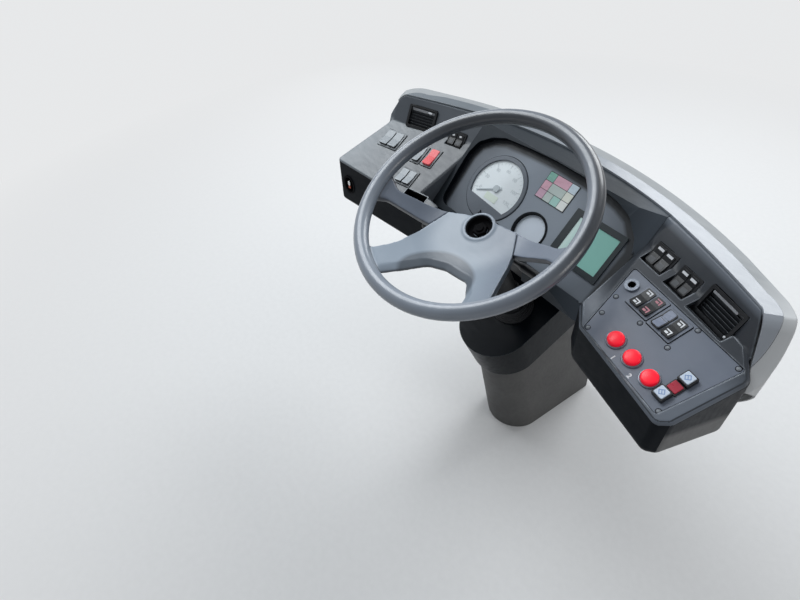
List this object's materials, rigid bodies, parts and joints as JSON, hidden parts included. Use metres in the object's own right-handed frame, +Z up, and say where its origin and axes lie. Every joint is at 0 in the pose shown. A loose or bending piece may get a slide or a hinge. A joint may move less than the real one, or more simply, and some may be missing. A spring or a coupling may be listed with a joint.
{
  "type": "driver's dashboard of a city bus with steering column and wheel",
  "caption": "Curved driver's dashboard of a city bus with a switch ledge, instrument cluster and button pod, a tilting and telescoping column and a four-spoke steering wheel.",
  "frame": {"origin": "centre of the column foot's bolt pattern on the cab floor, where the steering axis meets the floor", "axes": "+X to the driver's right, +Y towards the windscreen, +Z up"},
  "size_m": [0.9649, 0.6585, 0.8901],
  "materials": {
    "ledge_plastic": "grained mid-grey ledge moulding",
    "dash_plastic": "grained anthracite dash moulding",
    "shell_grey": "warm light-grey outer shell, matt",
    "strip_silver": "silver-grey top cover, satin",
    "panel_plate": "satin blue-grey switch plate",
    "dial_white": "pale dial face",
    "switch_grey": "grey rocker caps",
    "lamp_tiles": "pale tinted lamp tiles",
    "switch_black": "black switch plastic",
    "lcd_green": "unlit grey-green screen",
    "red_plastic": "bright red push button",
    "key_white": "pale blue lamp key",
    "steel_paint": "black coated steel",
    "steel_bare": "bright steel",
    "pedestal_grey": "scuffed warm dark-grey cover",
    "gloss_black": "glossy black",
    "rim_grip": "worn dark grey-blue foam rim",
    "wheel_plastic": "blue-grey spoke plate, worn shiny"
  },
  "bodies": {
    "dashboard": {"dash_left_wing": "ledge_plastic", "dash_right_pod": "dash_plastic", "dash_hood": "dash_plastic", "outer_shell": "shell_grey", "top_strip": "strip_silver", "pod_plate": "panel_plate", "cluster_panel": "dash_plastic", "speedometer": "dash_plastic", "speedo_face": "dial_white", "speedo_needle": "switch_grey", "small_gauge": "dial_white", "lamp_matrix": "lamp_tiles", "display_frame": "switch_black", "display_screen": "lcd_green", "vent_left": "switch_black", "vent_right": "switch_black", "ledge_rockers_rear": "switch_grey", "ledge_rocker_dark": "switch_grey", "hazard_rocker": "red_plastic", "ledge_rockers_front": "switch_grey", "riser_rockers_left": "switch_black", "riser_rockers_a": "switch_black", "riser_rockers_b": "switch_black", "pod_rockers_a": "switch_black", "pod_rockers_b": "switch_black", "push_button_a": "red_plastic", "push_button_b": "red_plastic", "push_button_c": "red_plastic", "key_light_a": "key_white", "key_red": "red_plastic", "key_light_b": "key_white", "pod_socket": "switch_black", "front_toggle": "switch_black", "column_foot": "steel_paint", "cross_beam": "steel_paint", "carrier_post": "steel_paint", "tilt_pin": "steel_bare", "pedestal": "pedestal_grey"},
    "column_tilt": {"tilt_head": "steel_paint", "column_cup": "gloss_black", "cup_collar": "gloss_black"},
    "column_slide": {"inner_column": "steel_paint", "switch_housing": "switch_black", "stalk_right": "switch_black", "stalk_left": "switch_black"},
    "steering_wheel": {"steering_shaft": "steel_bare", "wheel_rim": "rim_grip", "hub_plate": "wheel_plastic", "wheel_arm_left": "wheel_plastic", "wheel_arm_right": "wheel_plastic"}
  },
  "joints": [
    {"name": "column_tilt", "type": "hinge", "parent": "dashboard", "child": "column_tilt", "pos_m": [0, -0.14023, 0.31496], "axis": [1, 0, 0], "range_deg": [-3, 6]},
    {"name": "column_height", "type": "slide", "parent": "column_tilt", "child": "column_slide", "axis": [0, -0.4067, 0.9135], "range_m": [-0.025, 0.03]},
    {"name": "steering", "type": "hinge", "parent": "column_slide", "child": "steering_wheel", "pos_m": [0, -0.35173, 0.79], "axis": [0, -0.4067, 0.9135], "range_deg": [-900, 900]}
  ]
}
